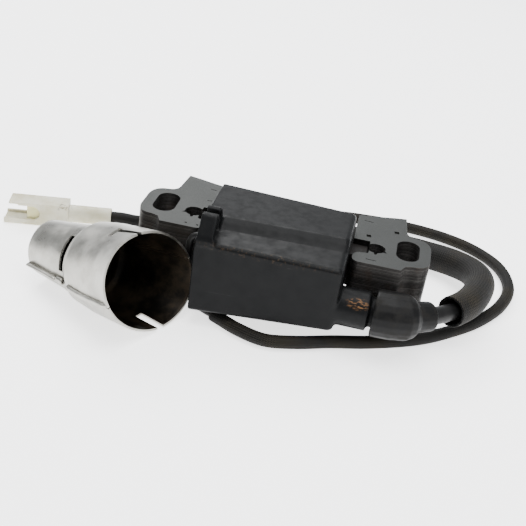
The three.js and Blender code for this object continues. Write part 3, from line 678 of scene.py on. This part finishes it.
def make_stack(name, node_name, marks):
    """A wing of the core as separate sheets, with the punch marks only in the top one."""
    outlines = top_outlines(node_name)
    low, high = (corner.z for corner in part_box(node_name))
    count = round((high - low) / (LAMINATION_PITCH * MM))
    pitch = (high - low) / count
    shape = bmesh.new()
    for i in range(count):
        bottom = low + i * pitch
        is_top = i == count - 1
        shift = (0.0, 0.0) if i == count - 1 else rng.uniform(-0.025, 0.025, 2) * MM
        holes = [rectangle(*mark) for mark in marks] if is_top else []
        top = bottom + pitch * (1.0 if is_top else SHEET_FILL)
        mesh = sheet_mesh(outlines + holes, bottom, top, shift, SHEET_EDGE * MM)
        shape.from_mesh(mesh)
        bpy.data.meshes.remove(mesh)
    mesh = bpy.data.meshes.new(name)
    shape.to_mesh(mesh)
    shape.free()
    piece = bpy.data.objects.new(name, mesh)
    bpy.context.scene.collection.objects.link(piece)
    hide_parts(node_name)
    finish_piece(piece, MATERIALS["lamination_steel"])
    return piece


def make_core():
    dash = 0.35
    make_stack("right_lamination_stack", "core_right_wing", [
        (26.5, 5.1, 1.5, 1.7, 0.1), (35.2, 11.2, 1.5, 1.7, 0.1),
        (25.6, 15.6, 3.0, dash, -0.1), (28.6, -10.6, 3.2, dash, -0.05),
    ])
    make_stack("left_lamination_stack", "core_left_wing", [
        (-27.6, 15.6, 2.2, dash, -0.2), (-26.8, 6.9, 1.6, dash, 0.1),
        (-30.0, -11.2, 0.7, 0.6), (-26.2, -11.4, 0.7, 0.6),
    ])


# ---- shapes that stay, with softened edges ----------------------------------------------------------
def soften(name, voxel_mm, passes, smooth_factor=0.5):
    """Rounds a moulded CAD node's edges without moving its faces."""
    piece = nodes[name]
    remesh = piece.modifiers.new("fine_surface", "REMESH")
    remesh.mode = "VOXEL"
    remesh.voxel_size = voxel_mm * MM
    remesh.use_smooth_shade = True
    smooth = piece.modifiers.new("soft_edges", "SMOOTH")
    smooth.factor = smooth_factor
    smooth.iterations = passes


def break_edges(name, width_mm):
    """A fine bevel on a hard-edged CAD node."""
    piece = nodes[name]
    weld = piece.modifiers.new("merge", "WELD")
    weld.merge_threshold = 1e-6
    bevel = piece.modifiers.new("broken_edges", "BEVEL")
    bevel.width = width_mm * MM
    bevel.segments = 2
    bevel.limit_method = "ANGLE"
    bevel.angle_limit = math.radians(35)
    bevel.harden_normals = False


def dress_kept_nodes():
    """Gives every CAD node that stays its material."""
    slots = {row["node"]: row["material_slot"] for row in frame["record"]["subparts"]}
    for name, slot_name in slots.items():
        piece = nodes[name]
        piece.data.materials.clear()
        piece.data.materials.append(MATERIALS[slot_name])
        for polygon in piece.data.polygons:
            polygon.material_index = 0
    for name, voxel_mm, passes in (
        ("coil_case", 0.32, 11), ("tower_cap", 0.28, 4), ("plug_cap_body", 0.35, 5),
        ("connector_housing", 0.2, 3), ("potting_resin", 0.35, 4), ("connector_insert", 0.18, 2),
    ):
        soften(name, voxel_mm, passes)
    for name, width_mm in (
        ("core_bar", 0.3), ("module_board", 0.1), ("power_transistor", 0.4), ("timing_capacitor", 0.8),
        ("bias_resistor", 0.3), ("ground_strap", 0.15), ("hv_contact", 0.2), ("plug_resistor", 0.4),
        ("plug_terminal_clip", 0.15), ("connector_terminal", 0.15), ("primary_bobbin", 0.15),
        ("secondary_bobbin", 0.15), ("primary_winding", 0.2), *(
            (f"secondary_winding_{i}", 0.2) for i in range(1, 5)
        ),
    ):
        break_edges(name, width_mm)


# ---- plug shroud ------------------------------------------------------------------------------------
SEAM_RIGHT, SEAM_LEFT = 14.0, 194.0
SEAM_SLACK = 0.5
ARM_AT, ARM_DIP, ARM_HOLE = 37.0, 10.0, 5.6


def shroud_axes():
    azimuth, tilt = math.radians(SHROUD["azimuth"]), math.radians(SHROUD["tilt"])
    outward = np.array((
        math.cos(tilt) * math.cos(azimuth), math.cos(tilt) * math.sin(azimuth), math.sin(tilt)
    ))
    across = np.array((-math.sin(azimuth), math.cos(azimuth), 0.0))
    return -outward, np.cross(outward, across), across


def shroud_place(local):
    """Points drawn with x behind the mouth, y up and z across, in the coil's frame."""
    back, up, across = shroud_axes()
    local = np.asarray(local, float)
    offset = local[..., :1] * back + local[..., 1:2] * up + local[..., 2:] * across
    return np.array(SHROUD["mouth"]) + offset


def shroud_radii(s):
    """Semi-axes of the outline at distance s behind the mouth."""
    stations = np.array([
        (0, 20, 15.2), (4, 18.3, 15.1), (8, 16.8, 14.9), (15, 14.9, 14.4), (21, 13.7, 13.5),
        (23, 13.3, 13.2),
        (24.8, 11.9, 11.8), (27.6, 11.5, 11.4), (29.4, 11.2, 11.1), (37, 10.2, 10.1),
        (SHROUD["length"], 9.3, 9.2),
    ])
    return np.interp(s, stations[:, 0], stations[:, 1]), np.interp(s, stations[:, 0], stations[:, 2])


def shroud_local(s, degrees, inset=0.0):
    """A point of the shroud's sheet at s behind the mouth and at an angle, y up and z across."""
    s, angle = np.broadcast_arrays(np.asarray(s, float), np.radians(degrees))
    a, b = shroud_radii(s)
    turn = math.radians(SHROUD["turn"])
    dent = 0.06 * np.sin(angle * 3 + 0.8) * np.sin(s * 0.21 + 0.5) + 0.03 * np.sin(angle * 7 + s * 0.3)
    x = (a - inset + dent - 0.07) * np.cos(angle - turn)
    y = (b - inset + dent - 0.07) * np.sin(angle - turn)
    height = x * math.sin(turn) + y * math.cos(turn)
    across = x * math.cos(turn) - y * math.sin(turn)
    return np.stack([s, height, across], -1)


def half_shell(name, start, end):
    """One half of the shroud between two seams: a closed thin shell."""
    s = np.unique(np.concatenate([np.linspace(0, SHROUD["length"], 48), [23, 24.8, 27.6, 29.4]]))
    degrees = np.linspace(start, end, 73)
    outer = shroud_place(shroud_local(s[:, None], degrees[None, :]))
    inner = shroud_place(shroud_local(s[:, None], degrees[None, :], SHROUD["sheet"]))[:, ::-1]
    rings = np.concatenate([outer, inner], axis=1)
    rows, columns = rings.shape[:2]
    half = columns // 2
    j = np.arange(half - 1)
    caps = np.stack([j, j + 1, columns - 2 - j, columns - 1 - j], -1)
    faces = np.vstack([grid_faces(rows, columns), caps, (caps + (rows - 1) * columns)[:, ::-1]])
    piece = add_mesh(name, rings, faces, MATERIALS["shroud_steel"])
    outward_faces(piece)
    return piece


def outward_faces(piece):
    shape = bmesh.new()
    shape.from_mesh(piece.data)
    bmesh.ops.recalc_face_normals(shape, faces=shape.faces)
    shape.to_mesh(piece.data)
    shape.free()


def radial_cutter(s0, s1, degrees, width, r0=8.0, r1=24.0):
    """A box that cuts through the sheet at an angle, drawn in the shroud's frame."""
    angle = math.radians(degrees)
    out = np.array((0.0, math.sin(angle), math.cos(angle)))
    side = np.array((0.0, -math.cos(angle), math.sin(angle)))
    corners = [
        np.array((s, 0, 0)) + out * r + side * w
        for s in (s0, s1) for r in (r0, r1) for w in (-width / 2, width / 2)
    ]
    faces = [(0, 1, 3, 2), (4, 6, 7, 5), (0, 4, 5, 1), (2, 3, 7, 6), (0, 2, 6, 4), (1, 5, 7, 3)]
    return shroud_place(np.array(corners)), faces


def arm_cutter(radius=ARM_HOLE, sides=48):
    """A round cutter along the plug cap's side arm."""
    angle = np.linspace(0, 2 * math.pi, sides, endpoint=False)
    dip = math.radians(ARM_DIP)
    axis = np.array((0.0, -math.sin(dip), math.cos(dip)))
    over = np.array((0.0, math.cos(dip), math.sin(dip)))
    ring = np.cos(angle)[:, None] * np.array((1.0, 0, 0)) + np.sin(angle)[:, None] * over
    base = np.array((ARM_AT, 0, 0))
    points = np.vstack([base + ring * radius + axis * 5, base + ring * radius + axis * 26])
    sides_faces = grid_faces(2, sides).tolist()
    return shroud_place(points), [*sides_faces, list(range(sides))[::-1], list(range(sides, 2 * sides))]


def cut_away(piece, cutters):
    """Subtracts closed meshes from a piece and applies the result."""
    for i, (points, faces) in enumerate(cutters):
        cutter = add_mesh(f"cutter_{i}", points, faces, MATERIALS["shroud_steel"])
        outward_faces(cutter)
        modifier = piece.modifiers.new("cut", "BOOLEAN")
        modifier.operation = "DIFFERENCE"
        modifier.solver = "EXACT"
        modifier.object = cutter
        apply_modifiers(piece)
        bpy.data.objects.remove(cutter)
    return piece


def finish_sheet(piece):
    """Fine edges, smooth faces, and the near-black painted-shade material on what faces the shroud's axis.
    """
    bevel = piece.modifiers.new("edges", "BEVEL")
    bevel.width = 0.09 * MM
    bevel.segments = 2
    bevel.limit_method = "ANGLE"
    bevel.angle_limit = math.radians(50)
    apply_modifiers(piece)
    mesh = piece.data
    mesh.shade_smooth()
    mesh.set_sharp_from_angle(angle=math.radians(40))
    # painted shade: the faces towards the shroud's axis get the near-black inner material
    mesh.materials.append(inner_shade_sheet_material)
    back = Vector(shroud_axes()[0])
    mouth = coil_point(*SHROUD["mouth"])
    for polygon in mesh.polygons:
        away = polygon.center - mouth
        radial = away - away.dot(back) * back
        polygon.material_index = 1 if polygon.normal.dot(radial.normalized()) < -0.6 else 0


def swept_strip(name, path, section, material):
    """A closed solid: a small section carried along points; each item of section is (out, side) in mm."""
    rings = []
    for s, degrees, scale in path:
        foot = shroud_local(s, degrees, 0.45)
        out = np.array((0.0, foot[1], foot[2]))
        out /= np.linalg.norm(out)
        side = np.array((0.0, -out[2], out[1]))
        rings.append([foot + out * u * scale + side * v * scale for u, v in section])
    rings = shroud_place(np.array(rings))
    rows, columns = rings.shape[:2]
    ends = [list(range(columns)), list(range((rows - 1) * columns, rows * columns))[::-1]]
    piece = add_mesh(name, rings, [*grid_faces(rows, columns).tolist(), *ends], material)
    outward_faces(piece)
    return piece


def make_seam():
    """The seam that shows has a rolled bead, a tail flange and a curl; a lap closes the hidden one."""
    steel = MATERIALS["shroud_steel"]
    seam = SEAM_LEFT - 2.2
    turns = np.linspace(0, 2 * math.pi, 14, endpoint=False)
    bead = [(0.75 + 0.95 * math.cos(a), 0.95 * math.sin(a)) for a in turns]
    barrel = [(s, seam, 0.35 + 0.65 * min(1.0, (s - 0.4) / 2.2)) for s in np.linspace(0.6, 21.4, 26)]
    swept_strip("shroud_rolled_seam", barrel, bead, steel)
    flange = [(-0.2, 0.3), (2.0, 0.3), (2.2, 0.1), (2.2, -0.2), (2.0, -0.35), (-0.2, -0.35)]
    tail = [(s, seam, 1.0) for s in np.linspace(29.2, SHROUD["length"] - 0.4, 20)]
    swept_strip("shroud_tail_flange", tail, flange, steel)
    curl_at = [(s, seam, 1.0) for s in np.linspace(25.4, 28.4, 8)]
    curl = [(0.9 + r * math.cos(a), r * math.sin(a)) for r, angles in (
        (1.0, np.linspace(-2.6, 2.6, 14)), (0.55, np.linspace(2.6, -2.6, 14)),
    ) for a in angles]
    swept_strip("shroud_seam_curl", curl_at, curl, steel)
    lap = [(-0.3, 0.7), (0.35, 0.7), (0.35, -0.7), (-0.3, -0.7)]
    hidden = [(s, SEAM_RIGHT, 1.0) for s in np.linspace(0.5, SHROUD["length"] - 0.5, 40)]
    # the lap carries the same near-black painted-shade material, which shows as a dark line in the seam's
    # gap
    swept_strip("shroud_lapped_seam", hidden, lap, inner_shade_sheet_material)


def make_shroud():
    upper = half_shell("shroud_upper_sheet", SEAM_RIGHT + SEAM_SLACK, SEAM_LEFT - SEAM_SLACK)
    cut_away(upper, [
        radial_cutter(-2, 10, 101, 1.6), radial_cutter(8.4, 10, 105, 5),
        *(radial_cutter(25.2, 27.4, degrees, 3.4) for degrees in (126, 140, 154, 168)),
        arm_cutter(),
    ])
    finish_sheet(upper)
    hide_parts("shroud_upper_shell")
    lower = half_shell("shroud_lower_sheet", SEAM_LEFT + SEAM_SLACK, SEAM_RIGHT + 360 - SEAM_SLACK)
    cut_away(lower, [radial_cutter(-2, 9, -80, 2.4), arm_cutter()])
    finish_sheet(lower)
    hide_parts("shroud_lower_shell")
    make_seam()


# ---- floor and light --------------------------------------------------------------------------------
def make_floor():
    mesh = bpy.data.meshes.new("floor")
    half = 3.0
    corners = [(-half, -half, 0), (half, -half, 0), (half, half, 0), (-half, half, 0)]
    mesh.from_pydata(corners, [], [(0, 1, 2, 3)])
    floor = bpy.data.objects.new("floor", mesh)
    floor.location.z = -0.0002
    bpy.context.scene.collection.objects.link(floor)
    material, _tree, shader = new_material("floor", Roughness=0.9, Emission_Strength=1.8)
    shader.inputs["Base Color"].default_value = (0.92, 0.92, 0.92, 1)
    shader.inputs["Emission Color"].default_value = (1, 1, 1, 1)
    mesh.materials.append(material)


def add_light(name, place, size, power):
    data = bpy.data.lights.new(name, "AREA")
    data.shape = "RECTANGLE"
    data.size, data.size_y = size
    data.energy = power
    light = bpy.data.objects.new(name, data)
    light.location = place
    towards = Vector((0, 0, 0.01)) - Vector(place)
    light.rotation_mode = "QUATERNION"
    light.rotation_quaternion = towards.to_track_quat("-Z", "Y")
    bpy.context.scene.collection.objects.link(light)


def make_light():
    world = bpy.data.worlds.new("studio")
    world.use_nodes = True
    background = world.node_tree.nodes["Background"]
    background.inputs["Color"].default_value = (0.93, 0.96, 1.0, 1)
    background.inputs["Strength"].default_value = 0.9
    bpy.context.scene.world = world
    add_light("window", (-0.35, 0.55, 0.75), (0.9, 0.5), 11)
    add_light("overhead", (0.1, -0.1, 1.0), (0.8, 0.8), 13)
    add_light("fill", (0.7, -0.5, 0.5), (0.5, 0.5), 3)


# the near-black painted-shade material for the shroud's inside
inner_shade_sheet_material = painted_shade_inner_sheet()
make_camera()
make_leads()
make_core()
dress_kept_nodes()
make_shroud()
make_floor()
make_light()
